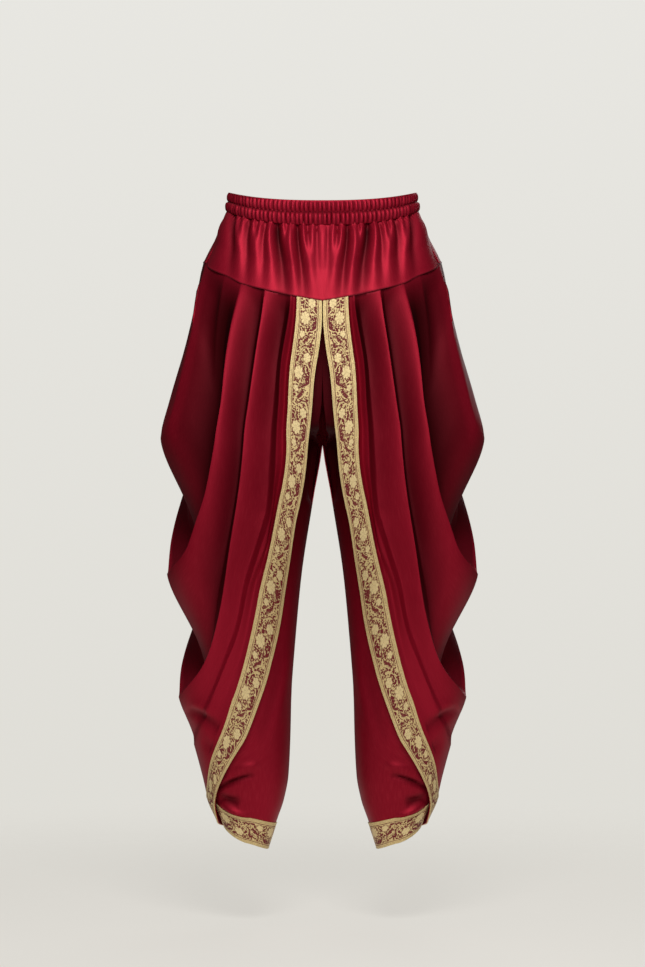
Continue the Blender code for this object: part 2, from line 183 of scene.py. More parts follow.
def addMesh(name, points, faces, material, smoothAngle=40, uvs=None, folds=None):
    mesh = bpy.data.meshes.new(name)
    mesh.from_pydata([tuple(point) for point in np.asarray(points) * millimetre], [], faces)
    mesh.materials.append(material)
    mesh.shade_smooth()
    mesh.set_sharp_from_angle(angle=math.radians(smoothAngle))
    if uvs is not None:
        layer = mesh.uv_layers.new(name="cloth")
        corners = np.zeros(len(mesh.loops), int)
        mesh.loops.foreach_get("vertex_index", corners)
        layer.data.foreach_set("uv", np.asarray(uvs)[corners].ravel())
    # painted shade: a per-point value from 0 to 1 of how far the cloth is darkened
    if folds is not None:
        layer = mesh.attributes.new("fold", "FLOAT", "POINT")
        layer.data.foreach_set("value", np.asarray(folds, float).ravel())
    piece = bpy.data.objects.new(name, mesh)
    bpy.context.scene.collection.objects.link(piece)
    return piece


def addWall(name, outer, inner, material, mirrored=False, smoothAngle=40, width=None, folds=None):
    # a closed cloth wall between an outer and an inner grid, with its measure across and along as UV
    across = np.concatenate([[0], np.cumsum(np.linalg.norm(np.diff(outer, axis=0), axis=2).mean(axis=1))])
    if width:
        across = np.linspace(0, width, outer.shape[0])
    middle = outer[outer.shape[0] // 2]
    along = np.concatenate([[0], np.cumsum(np.linalg.norm(np.diff(middle, axis=0), axis=1))])
    uv = np.stack(np.meshgrid(across, along, indexing="ij"), axis=-1) * millimetre
    if mirrored:
        outer, inner, uv = outer[::-1] * (-1, 1, 1), inner[::-1] * (-1, 1, 1), uv[::-1]
        folds = folds[::-1] if folds is not None else None
    columns, rows = outer.shape[:2]
    number = np.arange(2 * columns * rows).reshape(2, columns, rows)
    out, back = number

    def quads(a, b, c, d):
        return np.stack([a.ravel(), b.ravel(), c.ravel(), d.ravel()], axis=1)

    faces = np.concatenate([
        quads(out[:-1, :-1], out[1:, :-1], out[1:, 1:], out[:-1, 1:]),
        quads(back[:-1, :-1], back[:-1, 1:], back[1:, 1:], back[1:, :-1]),
        quads(out[:-1, 0], back[:-1, 0], back[1:, 0], out[1:, 0]),
        quads(out[:-1, -1], out[1:, -1], back[1:, -1], back[:-1, -1]),
        quads(out[0, :-1], out[0, 1:], back[0, 1:], back[0, :-1]),
        quads(out[-1, :-1], back[-1, :-1], back[-1, 1:], out[-1, 1:])])
    points = np.concatenate([outer.reshape(-1, 3), inner.reshape(-1, 3)])
    uvs = np.concatenate([uv.reshape(-1, 2), uv.reshape(-1, 2)])
    # the painted shade is the same on both faces
    if folds is not None:
        folds = np.concatenate([folds.ravel(), folds.ravel()])
    return addMesh(name, points, faces.tolist(), material, smoothAngle, uvs, folds)


# Materials

def operator(operation, swapped=False):
    def apply(self, other):
        return self.maths(operation, self, first=other) if swapped else self.maths(operation, other)
    return apply


def function(operation):
    def apply(self):
        return self.maths(operation)
    return apply


class Socket:
    # wraps a node's output, so that Python sums become Math nodes
    def __init__(self, tree, socket):
        self.tree, self.socket = tree, socket

    def maths(self, operation, *others, first=None):
        node = self.tree.nodes.new("ShaderNodeMath")
        node.operation = operation
        values = [first if first is not None else self, *others]
        for value, target in zip(values, node.inputs):
            self.tree.put(value, target)
        return Socket(self.tree, node.outputs[0])

    __add__ = operator("ADD")
    __radd__ = operator("ADD", swapped=True)
    __sub__ = operator("SUBTRACT")
    __rsub__ = operator("SUBTRACT", swapped=True)
    __mul__ = operator("MULTIPLY")
    __rmul__ = operator("MULTIPLY", swapped=True)
    __truediv__ = operator("DIVIDE")
    __pow__ = operator("POWER")
    __mod__ = operator("FLOORED_MODULO")
    __abs__ = function("ABSOLUTE")
    least = operator("MINIMUM")
    most = operator("MAXIMUM")
    angle = operator("ARCTAN2")
    sin = function("SINE")
    cos = function("COSINE")
    root = function("SQRT")

    def step(self, first, last):
        # goes smoothly from 0 at first to 1 at last
        return self.tree.node("ShaderNodeMapRange", {"interpolation_type": "SMOOTHSTEP"},
                              {"Value": self, "From Min": first, "From Max": last})


class Tree:
    # one material's nodes
    def __init__(self, name):
        self.material = bpy.data.materials.new(name)
        self.material.use_nodes = True
        self.nodes = self.material.node_tree.nodes
        self.links = self.material.node_tree.links
        self.shader = self.nodes["Principled BSDF"]

    def put(self, value, target):
        if isinstance(value, Socket):
            self.links.new(value.socket, target)
        else:
            target.default_value = value

    def node(self, kind, settings=None, inputs=None, output=0):
        made = self.nodes.new(kind)
        for key, value in (settings or {}).items():
            setattr(made, key, value)
        for key, value in (inputs or {}).items():
            self.put(value, made.inputs[key])
        return Socket(self, made.outputs[output])

    def mix(self, share, first, second):
        made = self.nodes.new("ShaderNodeMix")
        made.data_type = "RGBA"
        for key, value in ((0, share), (6, first), (7, second)):
            self.put(value if isinstance(value, (Socket, float, int)) else (*value, 1), made.inputs[key])
        return Socket(self, made.outputs[2])

    def vector(self, x, y, z=0.0):
        return self.node("ShaderNodeCombineXYZ", {}, {"X": x, "Y": y, "Z": z})

    def parts(self, vector):
        made = self.nodes.new("ShaderNodeSeparateXYZ")
        self.put(vector, made.inputs[0])
        return [Socket(self, output) for output in made.outputs]

    def noise(self, where, scale, detail=2.0, roughness=0.5):
        return self.node("ShaderNodeTexNoise", {}, {"Vector": where, "Scale": scale, "Detail": detail,
                                                    "Roughness": roughness})

    def bump(self, height, strength, distance):
        return self.node("ShaderNodeBump", {}, {"Height": height, "Strength": strength,
                                                "Distance": distance})

    def finish(self, **values):
        for key, value in values.items():
            self.put(value, self.shader.inputs[key.replace("_", " ")])
        return self.material


satin = {
    "lit": (0.34, 0.007, 0.024),
    "deep": (0.28, 0.005, 0.018),
    "fold": (0.020, 0.0004, 0.0008),   # painted shade, mixed in where a fold closes over the cloth
    "roughness": 0.50,
    "metallic": 0.45,
    "threadMm": 0.45,
    "threadLean": 0.25,
    "cloudMm": 220.0,
    "cloudSteps": (0.35, 0.7),
    "slubs": (900.0, 60.0),            # to the metre, across and along
    "slubSteps": (0.4, 0.75),
    "slubColour": (0.7, 0.05, 0.08),
    "slubShare": 0.10,
    "roughClouds": 0.10,
    "roughSlubs": 0.06,
    "reliefStrength": 0.12,
    "reliefMm": 0.12,
}


def makeSatin(name, values):
    tree = Tree(name)
    place = tree.node("ShaderNodeTexCoord", {}, {}, 3)
    cloth = tree.node("ShaderNodeTexCoord", {}, {}, 2)
    cloud = tree.noise(place, 1 / (values["cloudMm"] * millimetre), 3)
    u, v, _ = tree.parts(cloth)
    thread = values["threadMm"] * millimetre
    warp = ((u + v * values["threadLean"]) * (2 * math.pi / thread)).sin() * 0.5 + 0.5
    slubsAcross, slubsAlong = values["slubs"]
    slub = tree.noise(tree.vector(u * slubsAcross, v * slubsAlong), 1.0, 2)
    colour = tree.mix(cloud.step(*values["cloudSteps"]), values["deep"], values["lit"])
    colour = tree.mix(slub.step(*values["slubSteps"]) * values["slubShare"], colour, values["slubColour"])
    # painted shade: the per-point attribute darkens the satin towards the painted shade colour in valleys,
    # creases, seams and recesses
    fold = tree.node("ShaderNodeAttribute", {"attribute_name": "fold"}, {}, 2)
    colour = tree.mix(fold.least(1.0), colour, values["fold"])
    relief = tree.bump(warp * 0.5 + slub, values["reliefStrength"], values["reliefMm"] * millimetre)
    rough = values["roughness"] + (cloud - 0.5) * values["roughClouds"]
    rough = rough + (slub - 0.5) * values["roughSlubs"]
    return tree.finish(Base_Color=colour, Roughness=rough, Metallic=values["metallic"], Normal=relief,
                       Specular_IOR_Level=0.1)


brocade = {
    "gold": (0.62, 0.44, 0.17),
    "paleGold": (0.98, 0.78, 0.42),
    "ground": (0.13, 0.005, 0.012),
    "paleGround": (0.22, 0.014, 0.022),
    "widthMm": 39.0,
    "edgeMm": 4.8,           # plain woven edge on each side
    "lineMm": 0.9,           # dotted dark line inside it
    "repeatMm": 81.0,        # from one large flower to the next
    "firstMm": 30.0,         # where the first one stands
    "bendScale": 0.11,       # to the millimetre: how fast the drawn lines wander
    "flowerLook": {"petalWave": 0.10, "rim": (0.93, 1.05), "veins": (0.0, 0.2), "ringRate": 9.5,
                   "rings": (0.0, 0.35), "least": 0.62, "halo": (1.16, 1.32), "haloShare": 0.5},
    "leafLook": {"bow": 0.25, "leastTaper": 0.03, "rim": (0.75, 1.1), "share": 0.95},
    "stemCore": 0.3,
    "speckMm": 2.7,
    "speckLook": {"bends": (0.6, 0.8), "randomness": 0.8, "hollow": 0.54, "bendShare": 0.3,
                  "rim": (-0.05, 0.06)},
    "patchRim": (0.5, 1.2),
    "blotRim": (0.75, 1.05),
    "blotLeft": 0.1,         # share of the gold left in the blot
    "edgeLook": {"blur": 0.2, "dotMm": 2.0, "dots": (0.05, 0.5), "line": (0.45, 0.8), "lineLeast": 0.35,
                 "lineShare": 0.8, "secondAt": 0.6, "second": (0.2, 0.5), "secondShares": (0.25, 0.3),
                 "railIn": 0.6, "rail": (0.4, 0.8), "railShare": 0.85},
    "fleckScale": 1.1,
    "fleckRoughness": 0.75,
    "toneScales": (0.2, 0.05),
    "paleSteps": (0.36, 0.66),       # how gold turns pale: by flecks, by tone, in the flowers
    "paleShares": (0.8, 0.5, 0.5),
    "groundSteps": (0.35, 0.7),
    "weaveMm": 0.5,
    "weaveSteps": (-0.9, 0.2),
    "weaveShare": 0.18,
    "weaveShade": (0.16, 0.09, 0.03),
    "relief": {"weave": 0.12, "fleck": 0.2, "strength": 0.6},
    "reliefMm": 0.45,
    "roughness": (0.62, 0.14, 0.12),         # of the ground, how much less on gold, the flecks' share
    "metallic": 0.3,
    "flowers": (  # across, along, half width, half length, petals
        (14.6, 0.0, 6.9, 9.6, 8.0), (24.5, -24.0, 5.6, 7.0, 6.0), (12.0, 24.0, 4.2, 5.0, 5.0)),
    "leaves": (  # a dark leaf and the pale one beside it: across, along, lean, length, thickness
        ((19.8, 30.8, -0.94, 9.0, 2.1), (22.6, 33.4, -0.94, 10.0, 1.0)),
        ((31.0, -12.0, 0.9, 7.0, 1.9), (29.0, -10.5, 0.9, 7.5, 0.9)),
        ((28.0, 14.0, -0.8, 7.0, 1.8), (30.5, 15.0, -0.8, 7.0, 0.9))),
    "stems": (  # middle as a share of the width, waves in a repeat, start, swing, sway, thickness
        (0.52, 1, 0.6, 8.0, 4.0, 0.8), (0.5, 2, 0.4, -9.0, 5.0, 0.75)),
    "darkPatches": (  # across, along, half width, half length, how much less gold
        (29.0, 5.0, 5.5, 15.0, 0.14), (11.0, -19.0, 6.0, 8.0, 0.08)),
    "blot": (25.0, 41.5, 7.0, 3.6),
    "smoothAngle": 60,
}


def makeBrocade(name, values):
    # u runs across the border from its outer edge and v along it, both worked in millimetres here
    tree = Tree(name)
    cloth = tree.node("ShaderNodeTexCoord", {}, {}, 2)
    uMetres, vMetres, _ = tree.parts(cloth)
    u = uMetres / millimetre
    v = vMetres / millimetre
    bend = tree.noise(tree.vector(u * values["bendScale"], v * values["bendScale"]), 1.0, 1) - 0.5
    width, repeat = values["widthMm"], values["repeatMm"]
    along = (v + (repeat / 2 - values["firstMm"])) % repeat - repeat / 2

    def oval(centreU, centreV, radiusU, radiusV):
        du = (u - centreU) / radiusU
        dv = (along - centreV) / radiusV
        return (du * du + dv * dv).root(), du.angle(dv)

    def flower(centreU, centreV, radiusU, radiusV, petals):
        look = values["flowerLook"]
        distance, turn = oval(centreU, centreV, radiusU, radiusV)
        rim = 1 + look["petalWave"] * (turn * petals).cos()
        inside = 1 - (distance / rim).step(*look["rim"])
        veins = ((turn * petals).cos() * 0.5 + 0.5).step(*look["veins"])
        rings = abs((distance * look["ringRate"]).sin()).step(*look["rings"])
        drawn = look["least"] + (1 - look["least"]) * veins * rings
        halo = (1 - (distance / rim).step(*look["halo"])) * (1 - inside)
        return inside * drawn, halo

    def leaf(centreU, centreV, lean, length, thick):
        # a leaf along a slanting line, pointed at both ends
        look = values["leafLook"]
        du = u - centreU
        dv = along - centreV
        cosine, sine = math.cos(lean), math.sin(lean)
        lengthwise = du * cosine + dv * sine
        sideways = dv * cosine - du * sine + lengthwise * lengthwise * (look["bow"] / length)
        taper = (1 - (lengthwise / length) ** 2.0).most(0.0)
        return 1 - (abs(sideways) / (taper.most(look["leastTaper"]) * thick)).step(*look["rim"])

    def stem(middle, waves, start, swing, sway, thick):
        # a thin line that winds along the border
        wave = (v * (2 * math.pi / (repeat / waves)) + start).sin() * swing
        return 1 - abs(u - width * middle + wave + bend * sway).step(values["stemCore"], thick)

    cell = values["speckMm"]
    look = values["speckLook"]
    bendU, bendV = look["bends"]
    bent = tree.vector(u / cell + bend * bendU, v / cell + bend * bendV)
    specks = tree.node("ShaderNodeTexVoronoi", {"feature": "F1"},
                       {"Vector": bent, "Scale": 1.0, "Randomness": look["randomness"]})
    hollow = look["hollow"]
    for *place, less in values["darkPatches"]:
        distance, _ = oval(*place)
        hollow = hollow + less * (1 - distance.step(*values["patchRim"]))
    field = (specks - (hollow + bend * look["bendShare"])).step(*look["rim"])
    for stemLine in values["stems"]:
        field = field.most(stem(*stemLine))
    blot, _ = oval(*values["blot"])
    field = field * (blot.step(*values["blotRim"]) * (1 - values["blotLeft"]) + values["blotLeft"])
    for dark, light in values["leaves"]:
        field = (field * (1 - leaf(*dark) * values["leafLook"]["share"])).most(leaf(*light))
    flowers = 0.0
    for place in values["flowers"]:
        blossom, halo = flower(*place)
        field = (field * (1 - halo * values["flowerLook"]["haloShare"])).most(blossom)
        flowers = blossom.most(flowers)
    # the plain edges, with a dotted line inside each
    edge, line = values["edgeMm"], values["lineMm"]
    look = values["edgeLook"]
    fromEdge = u.least(width - u)
    plain = 1 - fromEdge.step(edge - look["blur"], edge + look["blur"])
    dots = ((v * (2 * math.pi / look["dotMm"])).sin() * 0.5 + 0.5).step(*look["dots"])
    core, rim = look["line"]
    dotted = 1 - abs(fromEdge - edge - line / 2).step(line * core, line * rim)
    dotted = dotted * (look["lineLeast"] + (1 - look["lineLeast"]) * dots)
    faint, beaded = look["secondShares"]
    second = 1 - abs(fromEdge - edge * look["secondAt"]).step(*look["second"])
    second = second * (faint + beaded * dots)
    rail = 1 - abs(fromEdge - edge - line - look["railIn"]).step(*look["rail"])
    gold = field.most(plain * (1 - second)).most(rail * look["railShare"])
    gold = (gold * (1 - dotted * look["lineShare"])).least(1.0)
    rate = 2 * math.pi / values["weaveMm"]
    weave = (u * rate).sin() * (v * rate).sin()
    fleckScale = values["fleckScale"]
    fleck = tree.noise(tree.vector(u * fleckScale, v * fleckScale), 1.0, 3, values["fleckRoughness"])
    toneU, toneV = values["toneScales"]
    tone = tree.noise(tree.vector(u * toneU, v * toneV), 1.0, 2)
    byFleck, byTone, inFlowers = values["paleShares"]
    pale = fleck.step(*values["paleSteps"]) * byFleck + (tone - 0.5) * byTone
    metal = tree.mix(pale, values["gold"], values["paleGold"])
    metal = tree.mix(flowers * inFlowers, metal, values["paleGold"])
    ground = tree.mix(fleck.step(*values["groundSteps"]), values["ground"], values["paleGround"])
    colour = tree.mix(gold, ground, metal)
    gaps = (1 - weave.step(*values["weaveSteps"])) * values["weaveShare"]
    colour = tree.mix(gaps, colour, values["weaveShade"])
    raised = values["relief"]
    relief = tree.bump(gold + weave * raised["weave"] + fleck * raised["fleck"], raised["strength"],
                       values["reliefMm"] * millimetre)
    matt, smoother, flecked = values["roughness"]
    rough = matt - gold * smoother + (fleck - 0.5) * flecked
    return tree.finish(Base_Color=colour, Roughness=rough, Metallic=gold * values["metallic"],
                       Normal=relief, Specular_IOR_Level=0.3)


threadLook = {
    "red": (0.30, 0.008, 0.02),
    "gold": (0.62, 0.50, 0.26),
    "fibres": 2500.0,        # to the metre
    "shade": 0.7,
    "roughness": 0.5,
    "roughFibres": 0.2,
    "reliefStrength": 0.4,
    "reliefMm": 0.2,
}


def makeThread(name, values, colour):
    tree = Tree(name)
    place = tree.node("ShaderNodeTexCoord", {}, {}, 3)
    fibre = tree.noise(place, values["fibres"], 2)
    shade = tree.mix(fibre, tuple(channel * values["shade"] for channel in colour), colour)
    relief = tree.bump(fibre, values["reliefStrength"], values["reliefMm"] * millimetre)
    rough = values["roughness"] + (fibre - 0.5) * values["roughFibres"]
    return tree.finish(Base_Color=shade, Roughness=rough, Normal=relief)


satinCloth = makeSatin("satin", satin)
borderCloth = makeBrocade("gold_brocade", brocade)
redThread = makeThread("red_thread", threadLook, threadLook["red"])
goldThread = makeThread("gold_thread", threadLook, threadLook["gold"])
print("materials made")


# Waist casing

casing = {
    "halfWidth": 141.0, "front": 95.0, "back": 98.0,
    "top": {"side": -18.0, "front": 0.0, "back": -14.0},
    "bottom": {"side": 10.0, "front": 37.0, "back": 21.0},
    "wall": 2.0,
    "ribs": 118,
    "ribHeight": 2.9,
    "stepsPerRib": 8,
    "ribPower": 0.7,
    "ribMiddle": 0.65,
    "ribSizes": (0.65, 1.15),
    "seed": 5,
    "drift": ((0.22, 0.9, 0.0), (0.15, 2.3, 1.0)),   # how the lower ribs wander: size, rate, start
    "lean": 0.6,             # how the ribs lean from bottom to top
    "pinch": 0.15,
    "rowSplit": 0.505,       # height where the upper row begins
    # painted shade: along the groove between the rows (groove, rowDark), in the hollows between the ribs
    # (foldDark) and on the inner face (innerDark)
    "groove": (0.515, 0.03),
    "foldDark": 0.95,
    "rowDark": 0.5,
    "innerHeights": (0.985, 0.93, 0.7, 0.52, 0.3, 0.06, 0.012),
    "innerOut": -2.9,
    "innerRib": 0.6,
    "innerDark": 0.5,
    "edgePower": 1.5,        # how late its edges turn towards the sides
    "fineSteps": 6001,
    "uvStep": (0.0008, 0.002),
    "smoothAngle": 75,
    "profile": [  # height, out, share of the rib's height
        (0.00, -0.6, 0.5), (0.035, 0.6, 0.8), (0.10, 1.5, 1.0), (0.20, 2.1, 1.0), (0.30, 2.2, 1.0),
        (0.40, 1.8, 1.0), (0.465, 0.8, 0.9), (0.50, -0.9, 0.6), (0.525, -1.9, 0.4), (0.56, -1.3, 0.7),
        (0.62, -0.7, 0.95), (0.70, -0.4, 1.0), (0.80, -0.5, 1.0), (0.88, -0.9, 0.9), (0.93, -1.3, 0.55),
        (0.945, -1.5, 0.25), (0.97, -1.5, 0.12), (0.99, -1.8, 0.1), (1.00, -2.4, 0.1)],
}


def ringLevel(levels, turn):
    ends = np.where(np.sin(turn) > 0, levels["front"], levels["back"])
    return levels["side"] + (ends - levels["side"]) * np.abs(np.sin(turn)) ** casing["edgePower"]


def casingPoint(turn, out, height):
    x = (casing["halfWidth"] + out) * squared(np.cos(turn))
    y = -squared(np.sin(turn)) * (np.where(np.sin(turn) > 0, casing["front"], casing["back"]) + out)
    bottom = ringLevel(casing["bottom"], turn)
    drop = bottom + height * (ringLevel(casing["top"], turn) - bottom)
    return np.stack([x, y, -drop], axis=-1)


def evenTurns(count):
    fine = np.linspace(0, 2 * math.pi, casing["fineSteps"])
    ring = casingPoint(fine, 0, 0.5)
    length = np.concatenate([[0], np.cumsum(np.linalg.norm(np.diff(ring, axis=0), axis=1))])
    return np.interp(np.arange(count) / count * length[-1], length, fine)


def buildCasing():
    around = casing["ribs"] * casing["stepsPerRib"]
    turns = evenTurns(around)
    place = np.arange(around) / casing["stepsPerRib"]
    random = np.random.default_rng(casing["seed"])
    sizes = random.uniform(*casing["ribSizes"], (2, casing["ribs"]))
    drift = sum(size * np.sin(place * rate + start) for size, rate, start in casing["drift"])
    grooveHeight, grooveWidth = casing["groove"]
    loops, folds = [], []
    for height, out, share in casing["profile"]:
        row = 0 if height < casing["rowSplit"] else 1
        size = np.interp(place % casing["ribs"], np.arange(casing["ribs"]) + 0.5, sizes[row])
        phase = 2 * math.pi * place + drift * (1 - row) + casing["lean"] * (1 / 3 - height)
        rib = np.abs(np.cos(phase / 2)) ** casing["ribPower"]
        pinch = casing["pinch"] * np.sin(math.pi * place + 3 * row)
        ribOut = casing["ribHeight"] * share * size * (rib - casing["ribMiddle"] + pinch)
        loops.append(casingPoint(turns, casing["wall"] + out + ribOut, height))
        # painted shade in the rib hollows and along the groove between the rows
        groove = casing["rowDark"] * bell(height - grooveHeight, grooveWidth)
        folds.append(casing["foldDark"] * share * (1 - rib) ** 1.5 + groove)
    for height in casing["innerHeights"]:
        rib = np.abs(np.cos(math.pi * place)) * casing["innerRib"] * min(1, 6 * height * (1 - height))
        loops.append(casingPoint(turns, casing["innerOut"] + rib, height))
        # painted shade on the inner face
        folds.append(casing["innerDark"] + 0 * turns)
    loops = np.array(loops).transpose(1, 0, 2)
    levels = loops.shape[1]
    number = np.arange(around * levels).reshape(around, levels)
    above = np.roll(number, -1, axis=1)
    faces = np.stack([number, above, np.roll(above, -1, axis=0), np.roll(number, -1, axis=0)], axis=-1)
    stepU, stepV = casing["uvStep"]
    uv = np.stack(np.meshgrid(np.arange(around) * stepU, np.arange(levels) * stepV, indexing="ij"), axis=-1)
    return addMesh("waist_casing", loops.reshape(-1, 3), faces.reshape(-1, 4).tolist(), satinCloth,
                   casing["smoothAngle"], uv.reshape(-1, 2), np.array(folds).T)


# Yokes

yoke = {
    "sideTurn": 14.0,
    "columns": 300,
    "rows": 46,
    "wall": 1.2,
    "topOut": 1.6,
    "seamGap": 0.2,
    "sharpness": (3, 0.16, 0.7),     # how soon a gather is at its sharpest: growth, start, power
    "levelling": 0.3,        # gathers sink nearly level, whatever the slope of the cloth
    "rowPower": 1.25,        # rows lie closer together at the casing
    "puff": 4.5,
    "puffUntil": 1.7,
    "gatherOpens": (0.7, 0.9),       # width of a gather at the casing, and how much it gains below
    "shoulder": (0.3, 2.1),          # raised cloth on each side of a gather: share of its depth, place
    "tucks": (0.55, 6.6, 9),         # small tucks under the casing: depth, pitch, how soon they end
    "tuckUp": 5.0,           # how far it runs up inside the casing
    "tuckIn": 0.8,
    "turnIn": 3.0,           # its lower edge turned in
    "turnUp": 1.0,
    # painted shade: on the tuck under the casing, along the seam row, in each gather, and darker towards
    # the sides where the cloth turns away from the light
    "tuckDark": 0.9,
    "seamDark": 0.8,
    "foldDark": 0.11,        # for each millimetre that a gather sinks
    "sideDarkFrom": 149.0,
    "sideDarkSpread": 22.0,
    "sideDark": 0.55,
    "sideDarkFade": 9.0,
    "lip": 0.8,              # how far its lower edge stands over the pleats
    "lipRows": 26,
    "smoothAngle": 60,
    "frontGathers": [  # reach at the casing and at the seam, width, depth, share of the height it reaches
        (153, 176, 5, 5.5, 1.5), (131, 137.5, 5, 6.5, 1.4), (121, 123, 3.5, 3.5, 0.4),
        (108, 114, 5.5, 5.5, 1.3), (96, 98, 3.5, 3.5, 0.35), (83, 89, 5, 5.0, 1.2),
        (67, 55, 7.5, 9.0, 1.5), (53, 49, 3.5, 3.5, 0.35), (37, 28.5, 5.5, 7.5, 1.5),
        (22, 17, 3.5, 4.0, 0.45), (8, 7, 3.5, 2.6, 0.9)],
    "backGathers": [
        (148, 168, 5, 4.0, 1.2), (128, 136, 5.5, 5.5, 1.0), (117, 121, 3.5, 3.5, 0.4),
        (104, 109, 5.5, 6.0, 1.3),
        (90, 93, 4, 3.5, 0.5), (76, 82, 6, 6.0, 1.2), (59, 61, 4, 4.5, 0.6), (45, 44, 6, 6.5, 1.4),
        (29, 27, 4, 4.0, 0.5), (13, 12, 5.5, 5.5, 1.2)],
}


def yokeGrid(front):
    side = math.radians(yoke["sideTurn"])
    first, last = (side, math.pi - side) if front else (side, -math.pi - side)
    across = np.linspace(0, 1, yoke["columns"] + 1)
    turn = first + across * (last - first)
    top = casingPoint(turn, yoke["topOut"], 0)
    drop = np.where(np.sin(turn) > 0, onSeam(turn, seams["front"], seams["sideDrop"]),
                    onSeam(turn, seams["back"], seams["sideDrop"]))
    low = hullPoint(turn, drop, 0)
    low[:, 2] += yoke["seamGap"]
    span = np.linalg.norm(np.diff(low, axis=0), axis=1).sum()
    widthAbove, widthGain = yoke["gatherOpens"]
    shoulder, besideIt = yoke["shoulder"]
    growth, start, power = yoke["sharpness"]
    tuckDepth, tuckPitch, tuckEnd = yoke["tucks"]
    rows = []
    sinks = []
    for row in np.linspace(0, 1, yoke["rows"] + 1):
        down = row ** yoke["rowPower"]
        points = (1 - down) * top + down * low
        swell = yoke["puff"] * math.sin(math.pi * min(down * yoke["puffUntil"], 1)) * (1 - down)
        rows.append(points + unit(points * (1, 1, 0)) * swell)
        sink = 0 * across
        sharp = math.sin(math.pi * min(down * growth + start, 0.5)) ** power
        for topReach, lowReach, width, depth, reach in yoke["frontGathers" if front else "backGathers"]:
            distance = np.abs(points[:, 0]) - (topReach + (lowReach - topReach) * down)
            fade = (1 - eased(min(down / reach, 1.0))) * sharp
            opened = width * (widthAbove + widthGain * down)
            raised = shoulder * bell(np.abs(distance) - opened * besideIt, opened)
            sink = sink + depth * fade * (bell(distance, opened) - raised)
        tuck = tuckDepth * np.cos(across * span / tuckPitch * 2 * math.pi) * max(0, 1 - down * tuckEnd)
        roll = yoke["lip"] * max(0.0, 1 - (1 - down) * yoke["lipRows"]) ** 2
        sinks.append(sink + tuck - roll)
    rows = np.array(rows).transpose(1, 0, 2)
    sinks = np.array(sinks).T
    if not front:
        rows, sinks = rows[::-1], sinks[::-1]
    normals = unit(gridNormals(rows) * (1, 1, yoke["levelling"]))
    grid = rows - normals * sinks[:, :, None]
    tucked = grid[:, :1] + np.array([0, 0, yoke["tuckUp"]]) - normals[:, :1] * yoke["tuckIn"]
    grid = np.concatenate([tucked, grid], axis=1)
    turned = grid[:, -1:] - normals[:, -1:] * yoke["turnIn"] + np.array([0, 0, yoke["turnUp"]])
    grid = np.concatenate([grid, turned], axis=1)
    # painted shade in the gathers and towards the sides, and a painted shadow along the seam row and on the
    # tuck under the casing
    folds = np.clip(sinks * yoke["foldDark"], 0, 1)
    sideFrom = yoke["sideDarkFrom"] + yoke["sideDarkSpread"] * np.linspace(0, 1, rows.shape[1])
    sideShare = eased(between(np.abs(rows[..., 0]) - sideFrom, 0, yoke["sideDarkFade"]))
    folds = np.maximum(folds, yoke["sideDark"] * sideShare)
    folds[:, -1] = yoke["seamDark"]
    return grid, np.concatenate([folds[:, :1] * 0 + yoke["tuckDark"], folds, folds[:, -1:]], axis=1)


def buildYoke(name, front):
    grid, folds = yokeGrid(front)
    normals = gridNormals(grid)
    return addWall(name, grid, grid - normals * yoke["wall"], satinCloth, smoothAngle=yoke["smoothAngle"],
                   folds=folds)


# Wrapped leg panels

